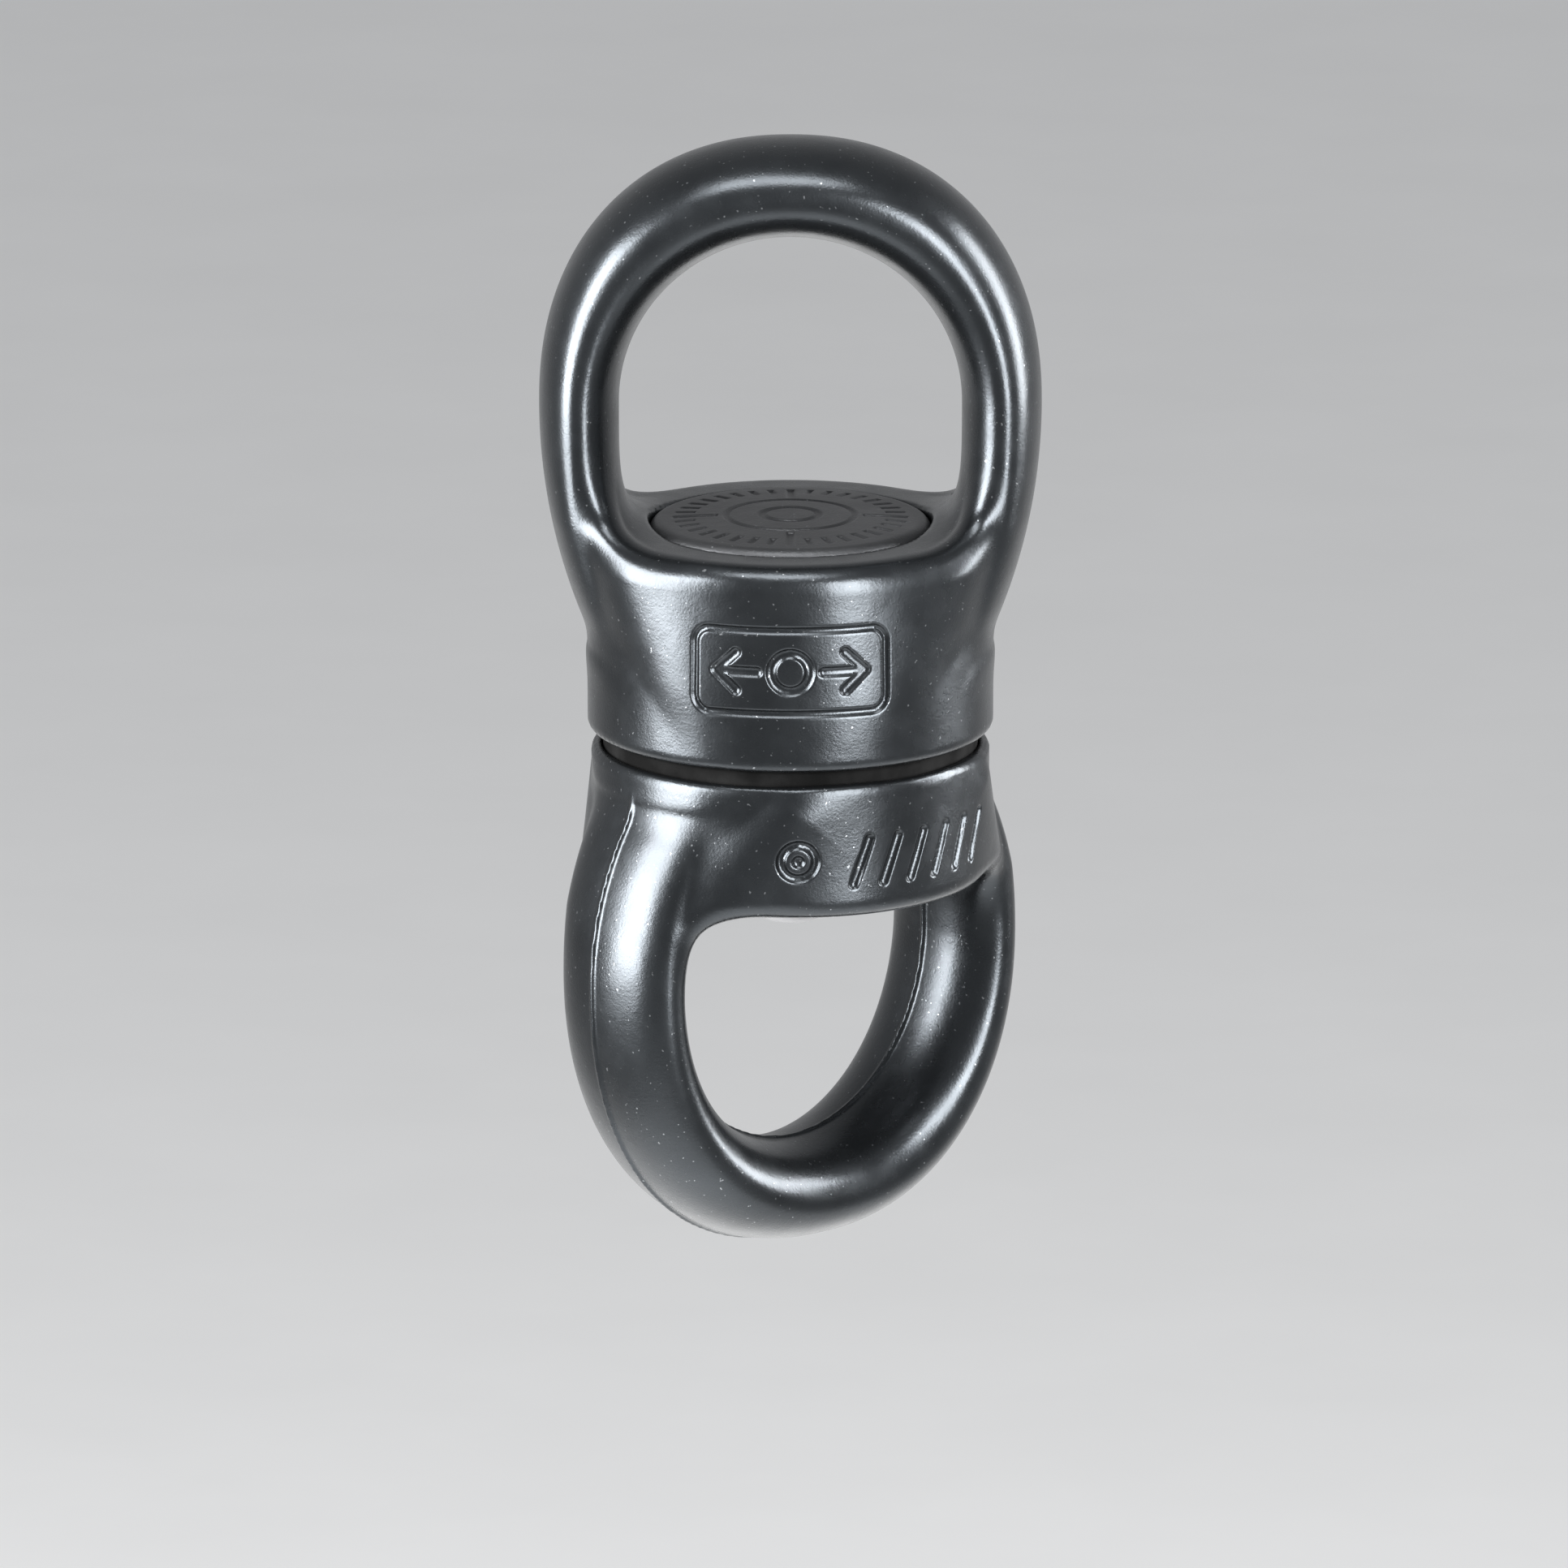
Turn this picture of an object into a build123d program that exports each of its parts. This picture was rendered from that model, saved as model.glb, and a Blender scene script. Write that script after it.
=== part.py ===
"""Ball-bearing swivel with two eyes: a bored upper bow turns freely on the axle of a lower bow.

Frame: +Z up along the spin axis, +X across the upper eye, origin at the centre of the whole swivel.
The load pulls the lower bow down on the axle's rivet head, the axle's flange presses on a thrust
ball bearing, and that bearing sits on a web inside the upper bow. Millimetres throughout.
"""

from build123d import *
from math import asin, cos, radians, sin, sqrt
from typing import NamedTuple
import os

# ---- driving dimensions -------------------------------------------------------------------
TOTAL_HEIGHT = 87.8  # crown of the upper eye to foot of the lower eye
UPPER_REACH = 47.4  # gap plane up to the crown of the upper eye
LOWER_REACH = TOTAL_HEIGHT - UPPER_REACH
GAP_Z = TOTAL_HEIGHT / 2 - UPPER_REACH  # the plane where the two bows part
GAP_HEIGHT = 1.24  # clear height of the slot between the two bows
LOWER_BOW_TURN = 38.0  # degrees that the lower eye is turned from the upper one at rest
FIT = 0.02  # radial room of the fixed and the locating fits
BALL_ROOM = 0.03  # between a ball and its groove
POCKET_ROOM = 0.08  # between a ball and its cage

# ---- what the two eyes share ------------------------------------------------------------------
EYE_HALF_WIDTH = 19.5  # outside half width at the eye's centre
EYE_SQUARENESS = 2.2  # exponent of the outside curve, 2 would be an ellipse
EYE_OPENING = 13.3  # half width of the opening
LEG_HALF_DEPTH = 6.6  # half of the section along the eye's opening
LAND_CUT = 0.45  # what the opening trims off the inside of the oval section
ROOT_SPREAD = 2.6  # how much the leg deepens towards its root
ROOT_SWELL = 5.0  # how much the leg thickens inwards towards its root
SWELL_POWER = 1.5  # how late the leg starts to thicken
CROWN_STEPS = 6  # spans of the loft from one side of the eye over its crown to the other
ROOT_SHARES = (0.3, 0.55, 0.8, 1.0)  # places of the leg's sections between eye centre and root


class Forging(NamedTuple):
    """Sizes of one bow's forging. Levels are distances from the gap plane towards the eye."""

    reach: float  # outside of the crown
    crown_rise: float  # eye centre to the outside of the crown
    opening_rise: float  # eye centre to the inside of the crown
    corner_r: float  # corners of the opening beside the barrel
    flank_arc_r: float  # outside flank, from the widest point in to the barrel
    root_level: float  # where the legs end inside the barrel
    barrel_r: float
    seat: float  # flat end of the barrel inside the eye
    seat_round: float
    mouth_round: float  # at the gap


UPPER = Forging(
    reach=UPPER_REACH,
    crown_rise=20.9,
    opening_rise=13.3,
    corner_r=6.5,
    flank_arc_r=45.0,
    root_level=5.5,
    barrel_r=15.8,
    seat=16.8,
    seat_round=1.7,
    mouth_round=0.7,
)
LOWER = Forging(
    reach=LOWER_REACH,
    crown_rise=23.0,
    opening_rise=15.3,
    corner_r=5.6,
    flank_arc_r=24.0,
    root_level=3.4,
    barrel_r=15.5,
    seat=11.2,
    seat_round=1.2,
    mouth_round=0.55,
)

# ---- upper bow ----------------------------------------------------------------------------
POCKET_R = 10.6  # thrust bearing pocket
CAP_SEAT = 14.5
WEB_TOP = 5.8
WEB_BOTTOM = 3.6
WEB_BORE_R = 5.7
NOSE_R = 10.0  # labyrinth nose that dips into the lower bow
NOSE_BOTTOM = -1.6

# ---- lower bow, its levels count downwards from the gap plane -----------------------------------
RECESS_R = 10.5  # takes the nose
RECESS_FLOOR = 2.7
SPIGOT_R = 5.75
SEAL_R = (11.5, 14.6)
SEAL_GROOVE_FLOOR = 1.3
SEAL_STANDOFF = 0.08  # between the seal and the upper bow
SEAL_LIP_ROUND = 0.35

# ---- axle and rivet -----------------------------------------------------------------------
AXLE_R = 4.5
AXLE_FIT_R = AXLE_R + FIT  # bore of what sits on the axle
FLANGE_R = 9.6
FLANGE_BOTTOM = 11.6
FLANGE_TOP = 14.0
FLANGE_CHAMFER = 0.4
SLEEVE_R = 5.1
RIVET_WASHER_R = 6.6
RIVET_WASHER_T = 1.0
WASHER_FACE = -LOWER.seat - RIVET_WASHER_T  # where the rivet's head starts
RIVET_R = 5.2
RIVET_RISE = 3.0
AXLE_RING_LEVEL = -8.6
AXLE_RING_T = 0.9

# ---- cap and its O-ring -----------------------------------------------------------------------
CAP_R = 11.0
CAP_EDGE = 17.1  # top of the cap at its rounded edge
CAP_CROWN = 17.5
CAP_ROUND = 0.9
CAP_HOLLOW_R = 8.4
CAP_PLATE_T = 1.6
CAP_RING_T = 0.8
CAP_RING_LEVEL = 15.5

# ---- thrust bearing -------------------------------------------------------------------------
THRUST_BALL_R = 1.75
THRUST_PITCH_R = 7.6
THRUST_BALLS = 10
THRUST_WASHER_T = 1.6
THRUST_LEVEL = (WEB_TOP + FLANGE_BOTTOM) / 2
THRUST_TOP = FLANGE_BOTTOM - THRUST_WASHER_T  # underside of the shaft washer
THRUST_EDGE = 0.25
THRUST_RACE = (THRUST_PITCH_R, THRUST_LEVEL, THRUST_BALL_R, THRUST_EDGE)
THRUST_CAGE_R = (5.4, 9.9)
THRUST_CAGE_T = 1.7

# ---- radial bearing -------------------------------------------------------------------------
RADIAL_BOTTOM = -0.4
RADIAL_OUTER_R = 8.5
RADIAL_RACE_GAP = (5.9, 7.2)  # outside of the inner race, inside of the outer race
RADIAL_BALL_R = 1.19
RADIAL_PITCH_R = 6.55
RADIAL_BALLS = 10
RADIAL_LEVEL = (RADIAL_BOTTOM + WEB_BOTTOM) / 2
RADIAL_EDGE = 0.25
RADIAL_RACE = (RADIAL_PITCH_R, RADIAL_LEVEL, RADIAL_BALL_R, RADIAL_EDGE)
RADIAL_CAGE_R = (6.1, 7.0)
RADIAL_CAGE_HALF = 1.5
SHIELD_T = 0.2
SHIELD_R = (RADIAL_RACE_GAP[0] + POCKET_ROOM, RADIAL_RACE_GAP[1] - FIT)
CAGE_RIVET_R = 0.16
CAGE_RIVET_HEAD_R = 0.3
CAGE_RIVET_HEAD_T = 0.14
SNAP_RING_T = 0.7
SNAP_RING_R = (7.5, 9.0)
SNAP_RING_OPENING = 3.0
SNAP_HOLE_R = 0.4
SNAP_HOLE_ANGLE = 20.0  # degrees from the middle of the opening to each plier hole


def block(inner, outer, bottom, top):
    """A rectangle of the half section, from radius inner to outer, levels above the gap plane."""
    with Locations(((inner + outer) / 2, (bottom + top) / 2)):
        Rectangle(outer - inner, top - bottom)


def groove(pitch_radius, level, ball_radius):
    """The round groove that a ball runs in, cut from the half section."""
    with Locations((pitch_radius, level)):
        Circle(ball_radius + BALL_ROOM, mode=Mode.SUBTRACT)


HALF_SECTION = Plane((0, 0, GAP_Z), x_dir=(0, 1, 0), z_dir=(1, 0, 0))


def dome(edge_radius, edge_level, crown_level):
    """Line of a spherical dome, from its edge in to the axis."""
    rise = crown_level - edge_level
    sphere = (edge_radius**2 + rise**2) / (2 * rise)
    centre = crown_level - sphere
    half_turn = asin(edge_radius / abs(sphere)) / 2
    middle = (abs(sphere) * sin(half_turn), centre + sphere * cos(half_turn))
    return ThreePointArc((edge_radius, edge_level), middle, (0, crown_level))


# ---- the forged bows ------------------------------------------------------------------------
def eye_curve(turn, half_width, rise, power):
    """Distance from the eye's centre to a squared-up oval, at an angle from the crown."""
    across = abs(sin(turn) / half_width) ** power
    along = abs(cos(turn) / rise) ** power
    return (across + along) ** (-1 / power)


def leg_sections(bow):
    """Planes and half axes of the oval section, left root over the crown to the right root."""
    eye_centre = bow.reach - bow.crown_rise
    sections = []
    for step in range(CROWN_STEPS + 1):
        turn = radians(-90 + 180 * step / CROWN_STEPS)
        inner = eye_curve(turn, EYE_OPENING, bow.opening_rise, 2) - LAND_CUT
        outer = eye_curve(turn, EYE_HALF_WIDTH, bow.crown_rise, EYE_SQUARENESS)
        middle = (inner + outer) / 2
        centre = (middle * sin(turn), 0, eye_centre + middle * cos(turn))
        plane = Plane(centre, x_dir=(sin(turn), 0, cos(turn)), z_dir=(cos(turn), 0, -sin(turn)))
        sections.append((plane, (outer - inner) / 2, LEG_HALF_DEPTH))
    for share in ROOT_SHARES:
        drop = (eye_centre - bow.root_level) * share
        outer = EYE_HALF_WIDTH - bow.flank_arc_r + sqrt(bow.flank_arc_r**2 - drop**2)
        inner = EYE_OPENING - LAND_CUT - ROOT_SWELL * share**SWELL_POWER
        middle = (inner + outer) / 2
        half = (outer - inner) / 2
        depth = LEG_HALF_DEPTH + ROOT_SPREAD * share**2
        level = eye_centre - drop
        left = Plane((-middle, 0, level), x_dir=(-1, 0, 0), z_dir=(0, 0, 1))
        right = Plane((middle, 0, level), x_dir=(1, 0, 0), z_dir=(0, 0, -1))
        sections.insert(0, (left, half, depth))
        sections.append((right, half, depth))
    return sections


def eye_opening(bow):
    """The opening seen along the eye: oval crown, straight sides, rounded corners at the barrel."""
    eye_centre = bow.reach - bow.crown_rise
    side = eye_centre - bow.seat
    with BuildSketch(Plane.XZ) as opening:
        with Locations((0, eye_centre)):
            Ellipse(EYE_OPENING, bow.opening_rise)
        with Locations((0, eye_centre - bow.opening_rise / 2)):
            Rectangle(2 * EYE_OPENING, bow.opening_rise, mode=Mode.SUBTRACT)
        with Locations((0, bow.seat + side / 2)):
            Rectangle(2 * EYE_OPENING, side)
        fillet(opening.vertices().group_by(Axis.Y)[0], bow.corner_r)
    return opening.sketch


def forged_blank(bow):
    """A bow as forged and with its opening trimmed, eye up, levels from the gap plane at zero."""
    mouth = GAP_HEIGHT / 2
    with BuildPart() as blank:
        for plane, half_thickness, half_depth in leg_sections(bow):
            with BuildSketch(plane):
                Ellipse(half_thickness, half_depth)
        loft()
        with BuildSketch(Plane.YZ) as barrel:
            with Locations((bow.barrel_r / 2, (bow.seat + mouth) / 2)):
                Rectangle(bow.barrel_r, bow.seat - mouth)
            outside = barrel.vertices().group_by(Axis.X)[-1]
            fillet(outside.sort_by(Axis.Y)[-1], bow.seat_round)
            outside = barrel.vertices().group_by(Axis.X)[-1]
            fillet(outside.sort_by(Axis.Y)[0], bow.mouth_round)
        revolve(axis=Axis.Z)
        extrude(eye_opening(bow), amount=2 * bow.barrel_r, both=True, mode=Mode.SUBTRACT)
    return blank.part


def turned_cut(steps):
    """The waste of a turned hole: a solid of revolution from (inner, outer, bottom, top) steps."""
    with BuildPart() as waste:
        with BuildSketch(HALF_SECTION):
            for inner, outer, bottom, top in steps:
                block(inner, outer, bottom, top)
        revolve(axis=Axis.Z)
    return waste.part


def make_upper_bow():
    """The bored upper bow: cap seat, bearing pocket, web, bearing bore and labyrinth nose."""
    waste = turned_cut(
        (
            (0, CAP_R + FIT, CAP_SEAT, UPPER.seat + UPPER.corner_r),
            (0, POCKET_R, WEB_TOP, CAP_SEAT),
            (0, WEB_BORE_R, WEB_BOTTOM, WEB_TOP),
            (0, RADIAL_OUTER_R + FIT, NOSE_BOTTOM, WEB_BOTTOM),
            (0, SNAP_RING_R[1] + FIT, RADIAL_BOTTOM - SNAP_RING_T - FIT, RADIAL_BOTTOM),
        )
    )
    with BuildPart() as upper_bow:
        with Locations((0, 0, GAP_Z)):
            add(forged_blank(UPPER))
        with BuildSketch(HALF_SECTION):
            block(0, NOSE_R, NOSE_BOTTOM, GAP_HEIGHT)
        revolve(axis=Axis.Z)
        add(waste, mode=Mode.SUBTRACT)
    return upper_bow.part


def make_lower_bow():
    """The lower bow: a collar bored for the axle, with a spigot, a recess and the seal's groove."""
    gap_face = -GAP_HEIGHT / 2
    waste = turned_cut(
        (
            (0, AXLE_R + FIT, -LOWER_REACH / 2, GAP_HEIGHT),
            (0, AXLE_R + AXLE_RING_T, AXLE_RING_LEVEL, AXLE_RING_LEVEL + AXLE_RING_T),
            (SPIGOT_R, RECESS_R, -RECESS_FLOOR, gap_face),
            (SEAL_R[0] - FIT, SEAL_R[1] + FIT, -SEAL_GROOVE_FLOOR, gap_face),
        )
    )
    with BuildPart() as lower_bow:
        with Locations(Location((0, 0, GAP_Z), (180, 0, -LOWER_BOW_TURN))):
            add(forged_blank(LOWER))
        with BuildSketch(HALF_SECTION):
            block(0, SPIGOT_R, -RECESS_FLOOR, RADIAL_BOTTOM)
        revolve(axis=Axis.Z)
        add(waste, mode=Mode.SUBTRACT)
    return lower_bow.part


# ---- turned rings and the axle ----------------------------------------------------------------
def turned_ring(inner, outer, bottom, top):
    """A plain turned ring, levels above the gap plane."""
    with BuildPart() as ring:
        with BuildSketch(HALF_SECTION):
            block(inner, outer, bottom, top)
        revolve(axis=Axis.Z)
    return ring.part


def rounded_ring(inner, outer, bottom, top, radius):
    """A turned ring with all four edges rounded, levels above the gap plane."""
    with BuildPart() as ring:
        with BuildSketch(HALF_SECTION) as half:
            block(inner, outer, bottom, top)
            fillet(half.vertices(), radius)
        revolve(axis=Axis.Z)
    return ring.part


def race(inner, outer, bottom, top, pitch_radius, level, ball_radius, edge):
    """A bearing ring with broken edges and the groove that its balls run in."""
    with BuildPart() as ring:
        with BuildSketch(HALF_SECTION) as half:
            block(inner, outer, bottom, top)
            fillet(half.vertices(), edge)
            groove(pitch_radius, level, ball_radius)
        revolve(axis=Axis.Z)
    return ring.part


def make_axle():
    """The axle: flange on top, ground shank, and the riveted head below its washer."""
    with BuildPart() as axle:
        with BuildSketch(HALF_SECTION) as half:
            block(0, AXLE_R, WASHER_FACE, FLANGE_TOP)
            block(0, FLANGE_R, FLANGE_BOTTOM, FLANGE_TOP)
            chamfer(half.vertices().group_by(Axis.X)[-1], FLANGE_CHAMFER)
            with BuildLine():
                dome(RIVET_R, WASHER_FACE, WASHER_FACE - RIVET_RISE)
                Line((0, WASHER_FACE - RIVET_RISE), (0, WASHER_FACE))
                Line((0, WASHER_FACE), (RIVET_R, WASHER_FACE))
            make_face()
        revolve(axis=Axis.Z)
    return axle.part


def make_cap():
    """The domed cap: rounded edge, hollow underneath, with a groove for its O-ring."""
    with BuildPart() as cap:
        with BuildSketch(HALF_SECTION) as half:
            with BuildLine():
                Line((0, CAP_SEAT), (CAP_R, CAP_SEAT))
                Line((CAP_R, CAP_SEAT), (CAP_R, CAP_EDGE))
                dome(CAP_R, CAP_EDGE, CAP_CROWN)
                Line((0, CAP_CROWN), (0, CAP_SEAT))
            make_face()
            fillet(half.vertices().group_by(Axis.X)[-1].sort_by(Axis.Y)[-1], CAP_ROUND)
            with Locations((CAP_HOLLOW_R / 2, (CAP_SEAT + CAP_EDGE - CAP_PLATE_T) / 2)):
                Rectangle(CAP_HOLLOW_R, CAP_EDGE - CAP_PLATE_T - CAP_SEAT, mode=Mode.SUBTRACT)
            with Locations((CAP_R - CAP_RING_T / 2, CAP_RING_LEVEL)):
                Rectangle(CAP_RING_T, CAP_RING_T, mode=Mode.SUBTRACT)
        revolve(axis=Axis.Z)
    return cap.part


def make_seal():
    """The gap seal: a flat base in its groove with a rounded lip that reaches up to the gap."""
    with BuildPart() as seal:
        with BuildSketch(HALF_SECTION) as half:
            block(SEAL_R[0], SEAL_R[1], -SEAL_GROOVE_FLOOR, GAP_HEIGHT / 2 - SEAL_STANDOFF)
            fillet(half.vertices().group_by(Axis.Y)[-1], SEAL_LIP_ROUND)
        revolve(axis=Axis.Z)
    return seal.part


# ---- ball bearings ----------------------------------------------------------------------------
def ball_set(radius, pitch_radius, level, count):
    """All the balls of one bearing, as one group of solids."""
    with BuildPart() as balls:
        with Locations((0, 0, GAP_Z + level)):
            with PolarLocations(pitch_radius, count):
                Sphere(radius)
    return balls.part


def make_thrust_cage():
    """The flat cage of the thrust bearing, one round pocket to each ball."""
    with BuildPart() as cage:
        with BuildSketch(Plane.XY.offset(GAP_Z + THRUST_LEVEL - THRUST_CAGE_T / 2)):
            Circle(THRUST_CAGE_R[1])
            Circle(THRUST_CAGE_R[0], mode=Mode.SUBTRACT)
            with PolarLocations(THRUST_PITCH_R, THRUST_BALLS):
                Circle(THRUST_BALL_R + POCKET_ROOM, mode=Mode.SUBTRACT)
        extrude(amount=THRUST_CAGE_T)
    return cage.part


def make_cage_half(side):
    """One half of the radial bearing's cage, above the balls' plane (1) or below it (-1)."""
    parting = RADIAL_LEVEL + side * FIT
    face = RADIAL_LEVEL + side * RADIAL_CAGE_HALF
    through = 4 * RADIAL_CAGE_HALF
    with BuildPart() as half_cage:
        with BuildSketch(HALF_SECTION):
            block(*RADIAL_CAGE_R, min(parting, face), max(parting, face))
        revolve(axis=Axis.Z)
        with Locations((0, 0, GAP_Z + RADIAL_LEVEL)):
            with PolarLocations(RADIAL_PITCH_R, RADIAL_BALLS):
                Sphere(RADIAL_BALL_R + POCKET_ROOM, mode=Mode.SUBTRACT)
            with PolarLocations(RADIAL_PITCH_R, RADIAL_BALLS, start_angle=180 / RADIAL_BALLS):
                Cylinder(CAGE_RIVET_R + FIT / 2, through, mode=Mode.SUBTRACT)
    return half_cage.part


def make_cage_rivets():
    """The small rivets that hold the cage halves together, midway between the balls."""
    head = RADIAL_CAGE_HALF + CAGE_RIVET_HEAD_T / 2
    with BuildPart() as rivets:
        with Locations((0, 0, GAP_Z + RADIAL_LEVEL)):
            with PolarLocations(RADIAL_PITCH_R, RADIAL_BALLS, start_angle=180 / RADIAL_BALLS):
                Cylinder(CAGE_RIVET_R, 2 * RADIAL_CAGE_HALF)
        for side in (-1, 1):
            with Locations((0, 0, GAP_Z + RADIAL_LEVEL + side * head)):
                with PolarLocations(RADIAL_PITCH_R, RADIAL_BALLS, start_angle=180 / RADIAL_BALLS):
                    Cylinder(CAGE_RIVET_HEAD_R, CAGE_RIVET_HEAD_T)
    return rivets.part


def make_snap_ring():
    """The open ring that keeps the radial bearing in its bore, with plier holes at its ends."""
    middle = (SNAP_RING_R[0] + SNAP_RING_R[1]) / 2
    with BuildPart() as ring:
        with BuildSketch(Plane.XY.offset(GAP_Z + RADIAL_BOTTOM - SNAP_RING_T)):
            Circle(SNAP_RING_R[1])
            Circle(SNAP_RING_R[0], mode=Mode.SUBTRACT)
            with Locations((middle, 0)):
                Rectangle(middle, SNAP_RING_OPENING, mode=Mode.SUBTRACT)
            with PolarLocations(middle, 2, -SNAP_HOLE_ANGLE, 2 * SNAP_HOLE_ANGLE, endpoint=True):
                Circle(SNAP_HOLE_R, mode=Mode.SUBTRACT)
        extrude(amount=SNAP_RING_T - FIT)
    return ring.part


def save(part, label):
    """Label a piece and write it out."""
    part.label = label
    export_step(part, f"parts/{label}.step")


os.makedirs("parts", exist_ok=True)

save(make_upper_bow(), "upper_bow")
save(make_lower_bow(), "lower_bow")
save(make_axle(), "axle")
save(make_cap(), "top_cap")
save(
    rounded_ring(
        CAP_R - CAP_RING_T + FIT,
        CAP_R,
        CAP_RING_LEVEL - CAP_RING_T / 2 + FIT,
        CAP_RING_LEVEL + CAP_RING_T / 2 - FIT,
        CAP_RING_T / 4,
    ),
    "cap_o_ring",
)
save(
    race(WEB_BORE_R, POCKET_R - FIT, WEB_TOP, WEB_TOP + THRUST_WASHER_T, *THRUST_RACE),
    "thrust_housing_washer",
)
save(
    race(SLEEVE_R + FIT, FLANGE_R, THRUST_TOP, FLANGE_BOTTOM, *THRUST_RACE),
    "thrust_shaft_washer",
)
save(make_thrust_cage(), "thrust_cage")
save(ball_set(THRUST_BALL_R, THRUST_PITCH_R, THRUST_LEVEL, THRUST_BALLS), "thrust_balls")
save(turned_ring(AXLE_FIT_R, SLEEVE_R, WEB_BOTTOM, FLANGE_BOTTOM), "spacer_sleeve")
save(
    race(AXLE_FIT_R, RADIAL_RACE_GAP[0], RADIAL_BOTTOM, WEB_BOTTOM, *RADIAL_RACE),
    "bearing_inner_race",
)
save(
    race(RADIAL_RACE_GAP[1], RADIAL_OUTER_R, RADIAL_BOTTOM, WEB_BOTTOM, *RADIAL_RACE),
    "bearing_outer_race",
)
save(make_cage_half(1), "bearing_cage_upper")
save(make_cage_half(-1), "bearing_cage_lower")
save(make_cage_rivets(), "bearing_cage_rivets")
save(ball_set(RADIAL_BALL_R, RADIAL_PITCH_R, RADIAL_LEVEL, RADIAL_BALLS), "bearing_balls")
save(turned_ring(*SHIELD_R, WEB_BOTTOM - SHIELD_T, WEB_BOTTOM), "bearing_upper_shield")
save(turned_ring(*SHIELD_R, RADIAL_BOTTOM, RADIAL_BOTTOM + SHIELD_T), "bearing_lower_shield")
save(make_snap_ring(), "snap_ring")
save(make_seal(), "gap_seal")
save(
    rounded_ring(
        AXLE_FIT_R,
        AXLE_R + AXLE_RING_T - FIT,
        AXLE_RING_LEVEL + FIT,
        AXLE_RING_LEVEL + AXLE_RING_T - FIT,
        AXLE_RING_T / 4,
    ),
    "axle_o_ring",
)
save(
    rounded_ring(AXLE_FIT_R, RIVET_WASHER_R, WASHER_FACE, -LOWER.seat, RIVET_WASHER_T / 4),
    "rivet_washer",
)
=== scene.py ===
import math
from typing import NamedTuple

import bmesh
import bpy
import numpy as np
import openvdb
from mathutils import Matrix, Vector


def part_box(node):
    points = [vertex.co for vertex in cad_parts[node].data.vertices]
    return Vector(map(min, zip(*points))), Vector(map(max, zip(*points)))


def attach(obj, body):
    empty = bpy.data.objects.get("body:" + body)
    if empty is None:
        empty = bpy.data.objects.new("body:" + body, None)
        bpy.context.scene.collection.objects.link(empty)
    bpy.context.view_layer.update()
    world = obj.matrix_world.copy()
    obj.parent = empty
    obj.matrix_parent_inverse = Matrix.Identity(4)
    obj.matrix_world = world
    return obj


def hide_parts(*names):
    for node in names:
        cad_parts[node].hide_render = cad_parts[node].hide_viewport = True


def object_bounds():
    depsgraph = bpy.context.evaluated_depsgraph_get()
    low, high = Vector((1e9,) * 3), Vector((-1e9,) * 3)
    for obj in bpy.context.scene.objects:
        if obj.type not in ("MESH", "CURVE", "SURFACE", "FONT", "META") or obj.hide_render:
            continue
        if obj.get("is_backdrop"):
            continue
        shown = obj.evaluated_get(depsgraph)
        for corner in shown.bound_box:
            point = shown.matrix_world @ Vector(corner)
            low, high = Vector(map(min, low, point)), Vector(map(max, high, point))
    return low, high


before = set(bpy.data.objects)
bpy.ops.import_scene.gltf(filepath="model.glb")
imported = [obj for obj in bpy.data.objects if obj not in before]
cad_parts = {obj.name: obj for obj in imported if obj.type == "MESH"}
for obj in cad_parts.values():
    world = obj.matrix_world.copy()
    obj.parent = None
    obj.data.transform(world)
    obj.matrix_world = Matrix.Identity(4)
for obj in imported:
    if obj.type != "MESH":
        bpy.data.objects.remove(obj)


def record_size(key, sizes={}):
    lo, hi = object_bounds()
    sizes[key] = [[float(v) for v in lo], [float(v) for v in hi]]


record_size("cad")

# ---- sizes of the two bows, in millimetres, eye up, levels counted from the plane where they part --
MM = 0.001
UPPER_REACH = 47.4  # outside of the upper crown
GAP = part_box("upper_bow")[1][2] / MM - UPPER_REACH  # where the bows part, in the frame
LOWER_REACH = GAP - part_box("lower_bow")[0][2] / MM
LOWER_TURN = math.radians(38.0)  # of the lower eye from the upper one, at rest
COS, SIN = math.cos(LOWER_TURN), math.sin(LOWER_TURN)
HALF_WIDTH = 19.5  # of the eye's outside
SQUARE = 2.2  # exponent of the eye's outside curve, 2 would be an ellipse
OPENING = 13.3  # half width of the eye's opening
HALF_DEPTH = 6.6  # of the eye's section, along its opening
ROOT_DEPTH = 0.4  # added to it at the root
LEG_SWELL = 0.35  # how fast the legs thicken inwards below the seat
THINNEST, THICKEST = 1.6, 6.0  # half thickness of the eye's section
MOUTH = 0.62  # from the parting plane to either bow's barrel
EDGE_BREAK = 0.25  # on the edges of turned holes
RIDGE_WIDTH = 0.22  # of the forging's parting line

AXLE_HOLE_R = 4.53
SPIGOT_R = 5.75
CAP_R = 11.0
CAP_SEAT = 14.5
NOSE_R = 10.0
NOSE_BOTTOM = -1.6


class Bow(NamedTuple):
    """Sizes of one bow. Levels are distances from the parting plane towards the eye."""

    reach: float  # outside of the crown
    crown_rise: float  # eye centre to the outside of the crown
    opening_rise: float  # eye centre to the inside of the crown
    flank: float  # radius of the outside flank, from the widest point in to the barrel
    barrel_r: float
    seat: float  # flat end of the barrel inside the eye
    seat_round: float
    mouth_round: float
    blend: float  # fillet where the legs meet the barrel
    ridge: float  # height of the parting line
    root: float  # where the legs end inside the barrel


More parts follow.
